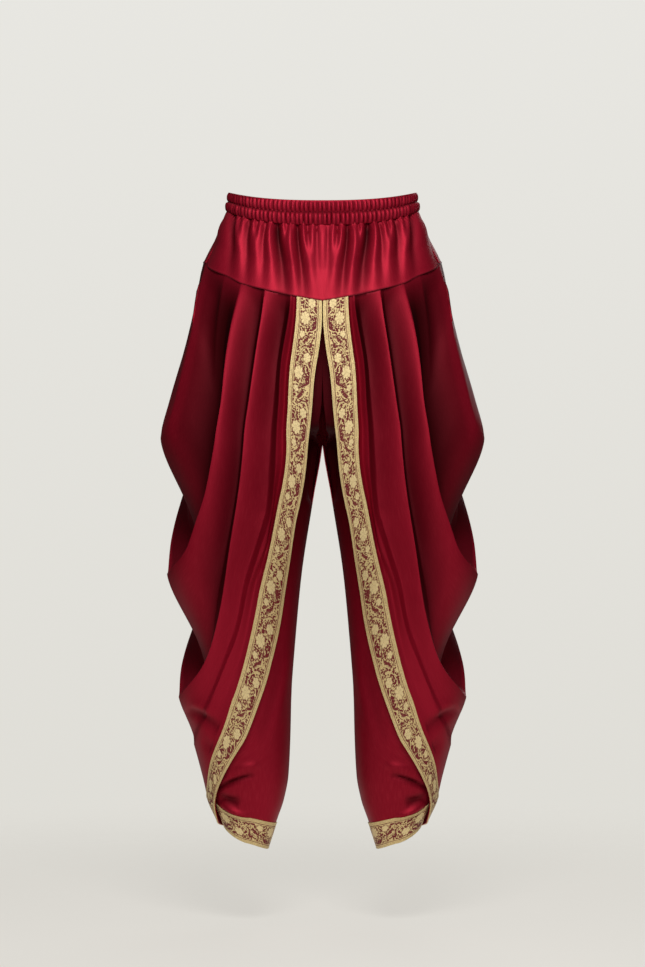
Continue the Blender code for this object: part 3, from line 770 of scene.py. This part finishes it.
wrap = {
    "wall": 1.2,
    "borderWall": 1.1,
    "borderLift": 0.25,
    "frontShares": (0.0, 0.12, 0.25, 0.4, 0.55, 0.7, 0.82, 0.92),
    "frontFolds": {  # reach at each share of the way down, and drop of the low point at the side
        "first": ((174, 183, 190, 195, 204, 214, 222, 230), 352),
        "second": ((119, 133, 143, 149, 159, 171, 188, 203), 556),
        "third": ((85, 95.5, 107, 117.5, 129, 142, 157, 178), 741),
        "fourth": ((46, 59, 65, 71, 87, 117, 145, 172), 812),
        "border": ((37.5, 45.5, 52, 63, 87, 111, 138, 165), 888),
        "edge": ((1, 9, 19.5, 36.5, 56, 79, 111, 153), 928)},
    "backFolds": {  # reach and drop of each station from the side up to the back yoke seam
        "first": ((235, 341), (229, 322), (212, 275), (192, 206), (176, 140), (160, 89)),
        "second": ((232, 533), (229, 497), (208, 420), (163, 307), (122, 194), (92, 104)),
        "third": ((215, 703), (204, 653), (162, 547), (124, 391), (88, 235), (55, 109)),
        "fourth": ((196, 775), (186, 722), (140, 680), (92, 460), (46, 300), (30, 111)),
        "border": ((150, 897), (110, 914), (84, 924), (48, 640), (6, 358), (6, 112)),
        "edge": ((144, 936), (112, 955), (0, 964), (0, 640), (0, 362), (0, 112))},
    "sideLineTurn": 11.0,
    "seamMargin": 0.06,
    "hemCorner": 11,
    "rowsBetween": (18, 12, 12, 14, 14, 14, 14, 16, 14, 14, 14, 14, 12, 14),
    "valleyPlaces": (0, 0.3, 1, 3, 5, 8, 10, 11, 14),
    "valleys": {  # depth at each place of the valley that follows a fold line
        "side": (0.0, 0.5, 1, 2, 4, 8, 4, 2, 0.0),
        "first": (2.0, 9, 16, 25, 36, 50, 26, 16, 1.5),
        "second": (2.0, 10, 16, 21, 26, 46, 24, 16, 1.5),
        "third": (2.0, 10, 15, 15, 9, 3, 6, 8, 1.5),
        "fourth": (1.5, 6, 9, 9, 4, 0, 2, 3, 1.0),
        "border": (0, 0, 0, 0, 0, 0, 0, 0, 0)},
    "columns": {  # columns to the next fold line, where between them the valley is deepest
        "side": (14, 0.5), "first": (44, 0.84), "second": (36, 0.84), "third": (28, 0.82),
        "fourth": (14, 0.6), "border": (9, 0.5)},
    # painted shade: a painted shadow under the yoke's edge (seamDark), in the valleys (dark), and on the
    # tuck behind the yoke (tuckDark)
    "seamDark": 0.45,
    "dark": {  # how dark the painted shade in each valley is at each place, and how fast it darkens towards the next line
        "side": ((0.5, 0.7, 0.75, 0.7, 0.6, 0.5, 0.6, 0.6, 0.5), 0.0),
        "first": ((0.35, 0.65, 1.0, 1.0, 1.0, 0.6, 0.6, 0.6, 0.4), 0.4),
        "second": ((0.5, 0.9, 1.0, 1.0, 0.95, 0.45, 0.6, 0.85, 0.5), 0.95),
        "third": ((0.5, 1.0, 0.95, 0.5, 0.12, 0.05, 0.3, 0.5, 0.4), 1.0),
        "fourth": ((0.4, 0.5, 0.45, 0.3, 0.15, 0.0, 0.0, 0.2, 0.3), 3.0),
        "border": ((0, 0, 0, 0, 0, 0, 0, 0, 0), 1.0)},
    "opening": (0.06, 0.025),   # shares of a valley over which its dark sets in and ends
    "firstOpening": 0.2,
    "sideOpening": 0.3,
    "tuckDark": 0.3,
    "valleyFall": 1.5,
    "valleyRise": 1.2,
    "crowding": 0.5,         # how much closer columns lie at a crisp edge
    "lastCrowding": 1.7,
    "softPleat": {  # near the yoke the first valley is a soft double one
        "place": 0.62, "hollow": 14.0, "until": 3.2, "fade": 1.3, "full": 0.8, "least": 0.12,
        "fall": 1.6, "rise": 0.8, "second": 0.35},
    "rounding": {"side": 0.0, "first": 1.0, "second": 1.0, "third": 1.0, "fourth": 0.8, "border": 0.12,
                 "edge": 0.0},
    "roundingPasses": 26,
    "depthPasses": 6,
    "foldPasses": 2,
    "sweepPlaces": (9.3, 13.9),
    "sweepEnds": (0.7, 0.4),
    "sweepReach": (25.0, 60.0),
    "sweepPasses": 44,
    "sweepFade": 14,         # columns over which the sweep sets in, counted from the border
    "tuckUp": 5.0,
    "tuckIn": 4.5,
    "onCentre": 0.1,         # reach under which a point belongs to the centre seam
    "stillColumns": 4,       # beside the border, left alone by the creases
    "smoothAngle": 48,
}


def foldStations(name):
    # turn, drop, hold and margin of each station of a fold line
    frontReaches, lowDrop = wrap["frontFolds"][name]
    top = seamDrop(frontReaches[0], seams["front"])
    drops = top + np.array(wrap["frontShares"]) * (lowDrop - top)
    turns = turnAt(np.array(frontReaches), drops, lambda turn: 0 * turn)
    backReaches, backDrops = np.array(wrap["backFolds"][name], float).T
    backTurns = turnAt(backReaches, backDrops, backRise)
    toSeam = turnAt(0 * backDrops, backDrops, backRise) - backTurns
    holds = np.where(backReaches < 1, 1.0, 0.0)
    none = np.zeros(len(turns) + 1)
    return np.array([spread(np.concatenate([turns, [0.0], -backTurns])),
                     np.concatenate([drops, [lowDrop], backDrops]),
                     np.concatenate([none, holds]),
                     np.concatenate([none, np.minimum(toSeam, wrap["seamMargin"])])])


def sideStations(following):
    turns = math.radians(wrap["sideLineTurn"]) * np.cos(np.linspace(0, math.pi, following.shape[1]))
    front = onSeam(np.maximum(turns, 0), seams["front"], seams["sideDrop"])
    back = onSeam(np.minimum(turns, 0), seams["back"], seams["sideDrop"])
    return np.array([spread(turns), np.where(turns > 0, front, back), 0 * turns,
                     wrap["seamMargin"] + 0 * turns])


def foldLine(stations, places, rounding):
    stations = stations.copy()
    stations[1, 0] = onSeam(unspread(stations[0, 0]), seams["front"], stations[1, 0])
    stations[1, -1] = onSeam(unspread(stations[0, -1]), seams["back"], stations[1, -1])
    knots = np.arange(stations.shape[1])
    rows = np.array([smoothThrough(knots, row, places) for row in stations])
    rows[:2] = (1 - rounding) * rows[:2] + rounding * softened(rows[:2], wrap["roundingPasses"])
    turn, drop, hold, margin = unspread(rows[0]), *rows[1:]
    furthest = turnAt(0 * drop, drop, backRise)
    held = np.minimum(hold * furthest - (1 - hold) * turn, furthest - margin)
    turn = np.where(turn < 0, -held, turn)
    return hullPoint(turn, drop, np.where(turn < 0, backRise(turn), 0))


def valleyShape(share, deepest):
    fall = math.sin(min(share / deepest, 1) * math.pi / 2) ** wrap["valleyFall"]
    rise = max(share - deepest, 0) / (1 - deepest)
    return fall * (1 - rise ** wrap["valleyRise"])


def softPleatShape(share):
    pleat = wrap["softPleat"]
    place = pleat["place"]
    if share < place:
        return math.sin(math.pi * (share / place) ** pleat["fall"]) ** pleat["rise"]
    return pleat["second"] * math.sin(math.pi * (share - place) / (1 - place))


def valleyDepth(name, share, deepest, places):
    depth = smoothThrough(wrap["valleyPlaces"], wrap["valleys"][name], places) * valleyShape(share, deepest)
    if name != "first":
        return depth
    pleat = wrap["softPleat"]
    nearSeam = np.clip(1 - places / pleat["until"], 0, 1) ** pleat["fade"]
    hollow = pleat["hollow"] * np.clip(places / pleat["full"], pleat["least"], 1)
    return (1 - nearSeam) * depth + nearSeam * hollow * softPleatShape(share)


# where the painted shade of a valley sets in and ends across it
def darkOpening(name, share):
    if name == "side":
        return 1 - math.exp(-((1 - share) / wrap["sideOpening"]) ** 2)
    if name == "first":
        return min(1.0, share / wrap["firstOpening"])
    setsIn, ends = wrap["opening"]
    return min(1.0, share / setsIn) * min(1.0, (1 - share) / ends)


def columnShares(name, following):
    # columns lie closer together at a crisp edge
    count, deepest = wrap["columns"][name]
    if following == "edge":
        return np.linspace(0, 1, count + 1)
    even = np.arange(count) / count
    return even + wrap["crowding"] * (1 - deepest) * np.sin(math.pi * even) ** 2 * even


def sweepBack(grid, places):
    # behind, the folds run on in one sweep past the level of the crotch
    first, last = wrap["sweepPlaces"]
    setsIn, ends = wrap["sweepEnds"]
    fromEdge = np.arange(len(grid))[::-1] - wrap["columns"]["border"][0] - 1
    across = between(fromEdge, 0, wrap["sweepFade"])
    along = between(places, first, first + setsIn) * between(-places, -last, ends - last)
    weight = between(grid[:, :, :1], *wrap["sweepReach"]) * across[:, None, None] * along[:, None]
    swept = softened(grid.transpose(0, 2, 1), wrap["sweepPasses"]).transpose(0, 2, 1)
    return grid + weight * (swept - grid)


def wrapGrid():
    rowCounts = wrap["rowsBetween"]
    places = [np.linspace(k, k + 1, n, endpoint=False) for k, n in enumerate(rowCounts)]
    places[-1] = len(rowCounts) - 1 + (np.arange(rowCounts[-1]) / rowCounts[-1]) ** wrap["lastCrowding"]
    places = np.concatenate(places + [[len(rowCounts)]])
    stations = {name: foldStations(name) for name in wrap["frontFolds"]}
    stations["side"] = sideStations(stations["first"])
    names = list(wrap["valleys"])
    rounding = wrap["rounding"]
    lines, depths, folds = [], [], []
    for name, following in zip(names, names[1:] + ["edge"]):
        deepest = wrap["columns"][name][1]
        strengths, growth = wrap["dark"][name]
        dark = smoothThrough(wrap["valleyPlaces"], strengths, places)
        for share in columnShares(name, following):
            line = (1 - share) * stations[name] + share * stations[following]
            lines.append(foldLine(line, places, (1 - share) * rounding[name] + share * rounding[following]))
            depths.append(valleyDepth(name, share, deepest, places))
            # painted shade in the valley
            folds.append(dark * share ** growth * darkOpening(name, share))
    lines, depths = np.array(lines), np.array(depths)
    grid = lines - gridNormals(lines) * softened(depths, wrap["depthPasses"])[:, :, None]
    grid = sweepBack(grid, places)
    grid[:, :, 0] = np.where(grid[:, :, 0] < wrap["onCentre"], under["seamLap"], grid[:, :, 0])
    return grid, places, softened(folds, wrap["foldPasses"])


creases = {
    # painted shade in the troughs:
    "dark": 0.10,            # for each millimetre that a trough sinks
    "darkest": 0.75,
    "taper": 0.7,
    "faced": (-10, 15),      # depths over which a crease fades at the side
    "wrap": [  # front or back, from reach, drop, to reach, drop, bow, width, depth
        (-1, 160, 868, 112, 850, 3, 4, 3.5), (-1, 202, 752, 152, 782, 4, 7, 5.0),
        (-1, 196, 745, 160, 760, 3, 8, -2.5), (-1, 178, 800, 150, 812, -3, 7, 2.5),
        (-1, 88, 460, 92, 560, 4, 10, -3.0), (-1, 75, 470, 76, 590, 3, 8, 2.5),
        (1, 60, 500, 120, 640, 10, 14, 3.0), (1, 40, 420, 70, 520, 6, 12, 2.0),
        (1, 130, 700, 90, 820, 8, 14, 2.5), (1, 150, 460, 185, 540, 6, 12, 2.0)],
    "under": [
        (-1, 160, 872, 100, 849, 2, 3.5, 6.0), (-1, 156, 884, 122, 890, -2, 7, 6.0),
        (-1, 152, 893, 108, 913, -3, 5, -6.0), (-1, 130, 845, 92, 836, 3, 6, -3.5),
        (-1, 150, 900, 120, 918, -3, 5, 1.5), (-1, 48, 660, 82, 810, 5, 7, -1.6),
        (-1, 60, 640, 95, 800, 6, 10, 1.4), (1, 90, 700, 110, 860, 5, 10, 2.0),
        (1, 140, 860, 95, 890, 4, 7, 2.2)],
}


def addCreases(grid, rows):
    # sinks soft troughs, or raises ridges where the depth is below 0, along the listed bowed lines
    normals = gridNormals(grid)
    moved = np.zeros(grid.shape[:2])
    reach, drop = grid[..., 0], -grid[..., 2]
    for facing, reachA, dropA, reachB, dropB, bow, width, depth in rows:
        run = np.array([reachB - reachA, dropB - dropA], float)
        length = np.linalg.norm(run)
        run = run / length
        along = ((reach - reachA) * run[0] + (drop - dropA) * run[1]) / length
        aside = (drop - dropA) * run[0] - (reach - reachA) * run[1]
        aside = aside - bow * 4 * along * (1 - along)
        taper = np.clip(4 * along * (1 - along), 0, 1) ** creases["taper"]
        taper = np.where((along > 0) & (along < 1), taper, 0)
        faced = between(facing * grid[..., 1], *creases["faced"])
        moved += depth * bell(aside, width) * taper * faced
    # returns the moved cloth and the painted shade of its troughs
    return grid - normals * moved[..., None], np.clip(moved * creases["dark"], 0, creases["darkest"])


def tuckedTop(grid, up, inward):
    # adds a row that runs up behind the yoke
    first = grid[:, :1]
    outward = unit(first * (1, 1, 0))
    return np.concatenate([first + np.array([0, 0, up]) - outward * inward, grid], axis=1)


def buildWrap(side, mirrored):
    grid, places, folds = wrapGrid()
    borderColumns = wrap["columns"]["border"][0] + 1
    cornerRow = int(np.searchsorted(places, wrap["hemCorner"]))
    plain, troughShade = addCreases(grid, creases["wrap"])
    still = slice(-borderColumns - wrap["stillColumns"], None)
    plain[still] = grid[still]
    # painted shade from the valleys and creases, a painted shadow under the yoke's edge, and more on the
    # row tucked behind the yoke
    folds = np.clip(folds + troughShade, 0, 1)
    normals = gridNormals(plain)
    top = tuckedTop(plain, wrap["tuckUp"], wrap["tuckIn"])
    folds[:, 0] += wrap["seamDark"]
    folds = np.concatenate([folds[:, :1] + wrap["tuckDark"], folds], axis=1)
    piece = addWall("drape_panel_" + side, top, top - gridNormals(top) * wrap["wall"], satinCloth, mirrored,
                    wrap["smoothAngle"], folds=folds)
    strip = plain[-borderColumns:, :cornerRow + 1]
    lift = normals[-borderColumns:, :cornerRow + 1]
    low = strip + lift * wrap["borderLift"]
    border = addWall("edge_border_" + side, low + lift * wrap["borderWall"], low, borderCloth, mirrored,
                     brocade["smoothAngle"], brocade["widthMm"])
    return piece, border, strip + lift * (wrap["borderLift"] + wrap["borderWall"])


# Under panels

under = {
    "wall": 1.2,
    "inset": ((146, 3.2), (152, 5), (160, 10), (185, 15), (700, 14), (850, 7.5), (970, 6.5)),
    "overlap": 45.0,
    "lastTurn": 18.0,
    "tuck": 4.0,
    "columns": 64,
    "rowRuns": ((0, 0.2, 24), (0.2, 0.34, 34), (0.34, 0.84, 50), (0.84, 1, 50)),
    "bandRows": 14,
    "borderWidth": 39.0,
    # painted shade, deep between the legs near the crotch and fading down the leg
    "dark": ((140, 0.8), (380, 0.78), (470, 0.45), (560, 0.2), (700, 0.08), (970, 0.1)),
    "hollow": [(-1, 4, 165, 16, 450, 0, 34, 22.0)],
    "hemPower": 0.5,
    "onCentre": 0.3,         # reach under which a point belongs to the centre seam
    "seamLap": -0.25,        # the two legs meet there with no light between them
    "rounds": 5,             # in which turns and drops settle on each other
    "smoothAngle": 48,
}


def hemDrop(turn):
    share = ((1 - np.cos(turn)) / 2) ** under["hemPower"]
    return hull["hemOuter"] + (hull["hemInner"] - hull["hemOuter"]) * share


def underGrid():
    edgeReaches, edgeLow = wrap["frontFolds"]["edge"]
    start = seams["front"][0][1]
    edgeDrops = start + np.array(wrap["frontShares"]) * (edgeLow - start)
    top = start - under["tuck"]
    shares = np.concatenate([np.linspace(first, last, count, endpoint=last == 1)
                             for first, last, count in under["rowRuns"]])
    levels = np.concatenate([shares, 1 + np.arange(1, under["bandRows"] + 1) / under["bandRows"]])
    insetDrops, insets = zip(*under["inset"])
    across = np.linspace(0, 1, under["columns"] + 1)[:, None]
    turn = np.full((len(across), len(levels)), math.pi)
    band = under["borderWidth"]
    for _ in range(under["rounds"]):
        aboveBand = hemDrop(turn) - band
        drop = np.where(levels > 1, aboveBand + (levels - 1) * band, top + levels * (aboveBand - top))
        first = turnAt(0.0, drop, lambda turn: 1 + 0 * turn)
        reach = np.interp(drop, edgeDrops, edgeReaches) + under["overlap"]
        last = np.maximum(turnAt(reach, drop, lambda turn: 1 + 0 * turn), math.radians(under["lastTurn"]))
        turn = first + across * (last - first)
    grid = hullPoint(turn, drop, 1, np.interp(drop, insetDrops, insets))[::-1]
    grid[..., 0] = np.where(grid[..., 0] < under["onCentre"], under["seamLap"], grid[..., 0])
    # the panel hangs back between the two borders, from the crotch up
    hollow, _ = addCreases(grid, under["hollow"])
    return addCreases(hollow, creases["under"])


def buildUnder(side, mirrored):
    grid, troughShade = underGrid()
    normals = gridNormals(grid)
    # painted shade by drop, with the painted shade of the creases
    folds = np.clip(smoothThrough(*zip(*under["dark"]), -grid[..., 2]) + troughShade, 0, 1)
    piece = addWall("under_panel_" + side, grid, grid - normals * under["wall"], satinCloth, mirrored,
                    under["smoothAngle"], folds=folds)
    band = slice(-under["bandRows"] - 1, None)
    low = grid[:, band] + normals[:, band] * wrap["borderLift"]
    high = low + normals[:, band] * wrap["borderWall"]
    # the woven strip's own grid runs across the strip first, so that its pattern follows the hem
    turned = high.transpose(1, 0, 2)[:, ::-1]
    turnedLow = low.transpose(1, 0, 2)[:, ::-1]
    border = addWall("hem_strip_" + side, turned, turnedLow, borderCloth, mirrored, brocade["smoothAngle"],
                     brocade["widthMm"])
    return piece, border, turned


# Sewing

sewing = {
    "pitchMm": 3.4,
    "lengthMm": 2.6,
    "widthMm": 0.55,
    "inFromEdge": 0.3,       # share of the way to the border's next column
    "proudMm": 0.12,
    "casingHeight": 0.515,
    "casingOut": -0.2,
    "casingSteps": 400,
}


def makeStitchTree():
    # thread stitches at even steps along a run of edges
    group = bpy.data.node_groups.new("stitch_run", "GeometryNodeTree")
    face = group.interface
    face.new_socket("Geometry", in_out="INPUT", socket_type="NodeSocketGeometry")
    for title in ("Pitch", "Length", "Width"):
        socket = face.new_socket(title, in_out="INPUT", socket_type="NodeSocketFloat")
        socket.default_value = sewing[title.lower() + "Mm"] * millimetre
    face.new_socket("Thread", in_out="INPUT", socket_type="NodeSocketMaterial")
    face.new_socket("Geometry", in_out="OUTPUT", socket_type="NodeSocketGeometry")
    made = {}
    for kind in ("NodeGroupInput", "GeometryNodeMeshToCurve", "GeometryNodeCurveToPoints",
                 "GeometryNodeMeshIcoSphere", "ShaderNodeCombineXYZ", "GeometryNodeInstanceOnPoints",
                 "GeometryNodeRealizeInstances", "GeometryNodeSetShadeSmooth", "GeometryNodeSetMaterial",
                 "NodeGroupOutput"):
        made[kind] = group.nodes.new(kind)
    start, curve, spots, ball, scale, instance, real, smooth, material, end = made.values()
    spots.mode = "LENGTH"
    ball.inputs["Radius"].default_value = 0.5
    for source, target in (
            (start.outputs["Geometry"], curve.inputs["Mesh"]),
            (curve.outputs["Curve"], spots.inputs["Curve"]),
            (start.outputs["Pitch"], spots.inputs["Length"]),
            (spots.outputs["Points"], instance.inputs["Points"]),
            (spots.outputs["Rotation"], instance.inputs["Rotation"]),
            (ball.outputs["Mesh"], instance.inputs["Instance"]),
            (start.outputs["Width"], scale.inputs["X"]),
            (start.outputs["Width"], scale.inputs["Y"]),
            (start.outputs["Length"], scale.inputs["Z"]),
            (scale.outputs[0], instance.inputs["Scale"]),
            (instance.outputs["Instances"], real.inputs["Geometry"]),
            (real.outputs["Geometry"], smooth.inputs["Geometry"]),
            (smooth.outputs["Geometry"], material.inputs["Geometry"]),
            (start.outputs["Thread"], material.inputs["Material"]),
            (material.outputs["Geometry"], end.inputs["Geometry"])):
        group.links.new(source, target)
    return group


def sew(name, runs, thread):
    points, edges = [], []
    for run in runs:
        edges += [(len(points) + k, len(points) + k + 1) for k in range(len(run) - 1)]
        points += [tuple(point) for point in np.asarray(run) * millimetre]
    mesh = bpy.data.meshes.new(name)
    mesh.from_pydata(points, edges, [])
    piece = bpy.data.objects.new(name, mesh)
    bpy.context.scene.collection.objects.link(piece)
    modifier = piece.modifiers.new("stitches", "NODES")
    modifier.node_group = stitchTree
    inputs = [item for item in stitchTree.interface.items_tree if item.in_out == "INPUT"]
    sockets = {item.name: item.identifier for item in inputs}
    modifier[sockets["Thread"]] = thread
    graph = bpy.context.evaluated_depsgraph_get()
    sewn = bpy.data.meshes.new_from_object(piece.evaluated_get(graph), depsgraph=graph)
    piece.modifiers.remove(modifier)
    piece.data = sewn
    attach(piece, "root")
    return piece


def edgeRuns(face, mirrored):
    # stitch lines just inside the two long edges of a border, on its face
    share = sewing["inFromEdge"]
    proud = gridNormals(face) * sewing["proudMm"]
    raised = face + proud
    flip = (-1, 1, 1) if mirrored else (1, 1, 1)
    return [((1 - share) * raised[0] + share * raised[1]) * flip,
            ((1 - share) * raised[-1] + share * raised[-2]) * flip]


stitchTree = makeStitchTree()
pieces = {}
pieces["waistband"] = buildCasing()
pieces["yoke_front"] = buildYoke("front_yoke", True)
pieces["yoke_back"] = buildYoke("back_yoke", False)
print("waist and yokes made")
for side, mirrored in (("left", False), ("right", True)):
    pieces["drape_" + side], pieces["border_" + side], edgeFace = buildWrap(side, mirrored)
    pieces["under_" + side], pieces["hem_border_" + side], hemFace = buildUnder(side, mirrored)
    for node, name, face in (("border_", "edge_border_stitches_", edgeFace),
                             ("hem_border_", "hem_strip_stitches_", hemFace)):
        sew(name + side, edgeRuns(face, mirrored), goldThread)
    print("leg made:", side)
ringTurns = np.linspace(0, 2 * math.pi, sewing["casingSteps"])
ring = casingPoint(ringTurns, sewing["casingOut"], sewing["casingHeight"])
sew("casing_stitches", [ring], redThread)

for node, piece in pieces.items():
    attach(piece, "root")
    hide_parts(node)


# Studio

studio = {
    "lens": 36 * 5.5 / 1.4505,
    "distance": 5.5,
    "eyeDrop": 417.75,
    "floorDrop": 1075.0,
    "floor": (0.26, 0.25, 0.235),
    "floorGlow": (0.56, 0.545, 0.505),
    "floorFade": (0.55, 2.1),   # from its middle, where it fades into the backdrop
    "backdropLow": (0.73, 0.715, 0.665),
    "backdropHigh": (0.805, 0.795, 0.755),
    "horizonSpan": 0.13,     # height of the view over which the backdrop brightens
    "paper": {"toneScale": 1.5, "toneShare": 0.3, "toneShade": 0.97, "roughness": 0.8},
    "ambient": 0.06,
    "lights": [  # name, place, aim, size, watts
        ("key", (0.04, -1.7, 0.85), (0, 0, -0.25), (0.7, 0.9), 30),
        ("fill", (0.1, -3.4, 0.0), (0, 0, -0.5), (1.4, 1.8), 12),
        ("floorLight", (0, 0.6, 2.2), (0, 0.2, -1.1), (3.6, 3.2), 18),
        ("rim", (0.6, 2.6, 0.8), (0, 0, -0.4), (2.0, 1.6), 20)],
}


def aim(thing, place, target):
    thing.location = place
    thing.rotation_euler = (Vector(target) - Vector(place)).to_track_quat("-Z", "Y").to_euler()


def buildBackdrop():
    world = bpy.data.worlds.new("studio")
    world.use_nodes = True
    nodes, links = world.node_tree.nodes, world.node_tree.links
    background = nodes["Background"]
    height = nodes.new("ShaderNodeSeparateXYZ")
    links.new(nodes.new("ShaderNodeTexCoord").outputs["Generated"], height.inputs[0])
    ramp = nodes.new("ShaderNodeMapRange")
    ramp.inputs["From Min"].default_value = -studio["horizonSpan"]
    ramp.inputs["From Max"].default_value = studio["horizonSpan"]
    links.new(height.outputs["Z"], ramp.inputs["Value"])
    blend = nodes.new("ShaderNodeMix")
    blend.data_type = "RGBA"
    links.new(ramp.outputs[0], blend.inputs[0])
    blend.inputs[6].default_value = (*studio["backdropLow"], 1)
    blend.inputs[7].default_value = (*studio["backdropHigh"], 1)
    links.new(blend.outputs[2], background.inputs["Color"])
    # the paper backdrop shows bright, and lights the cloth far less than the softboxes do
    path = nodes.new("ShaderNodeLightPath")
    strength = nodes.new("ShaderNodeMapRange")
    strength.inputs["To Min"].default_value = studio["ambient"]
    links.new(path.outputs["Is Camera Ray"], strength.inputs["Value"])
    links.new(strength.outputs[0], background.inputs["Strength"])
    bpy.context.scene.world = world


def buildFloor():
    tree = Tree("floor_paper")
    place = tree.node("ShaderNodeTexCoord", {}, {}, 3)
    x, y, _ = tree.parts(place)
    fade = 1 - ((x * x + y * y).root()).step(*studio["floorFade"])
    paper = studio["paper"]
    tone = tree.noise(place, paper["toneScale"], 2)
    shade = tuple(channel * paper["toneShade"] for channel in studio["floor"])
    colour = tree.mix(tone * paper["toneShare"], studio["floor"], shade)
    material = tree.finish(Base_Color=colour, Roughness=paper["roughness"] + (tone - 0.5) * 0.1, Alpha=fade,
                           Specular_IOR_Level=0.1, Emission_Color=(*studio["floorGlow"], 1),
                           Emission_Strength=1.0)
    size = studio["floorFade"][1] / millimetre
    corners = [(-size, -size, 0), (size, -size, 0), (size, size, 0), (-size, size, 0)]
    floor = addMesh("floor", np.array(corners) - (0, 0, studio["floorDrop"]), [(0, 1, 2, 3)], material)


def buildLights():
    for name, place, target, size, watts in studio["lights"]:
        light = bpy.data.lights.new(name, "AREA")
        light.shape = "RECTANGLE"
        light.size, light.size_y = size
        light.energy = watts
        lamp = bpy.data.objects.new(name, light)
        bpy.context.scene.collection.objects.link(lamp)
        aim(lamp, place, target)


def buildCamera():
    camera = bpy.data.cameras.new("camera")
    camera.lens = studio["lens"]
    camera.dof.use_dof = False
    viewer = bpy.data.objects.new("camera", camera)
    bpy.context.scene.collection.objects.link(viewer)
    eye = -studio["eyeDrop"] * millimetre
    aim(viewer, (0, -studio["distance"], eye), (0, 0, eye))
    bpy.context.scene.camera = viewer


bpy.context.scene.view_settings.view_transform = "Standard"
buildBackdrop()
buildFloor()
buildLights()
buildCamera()
print("studio made")
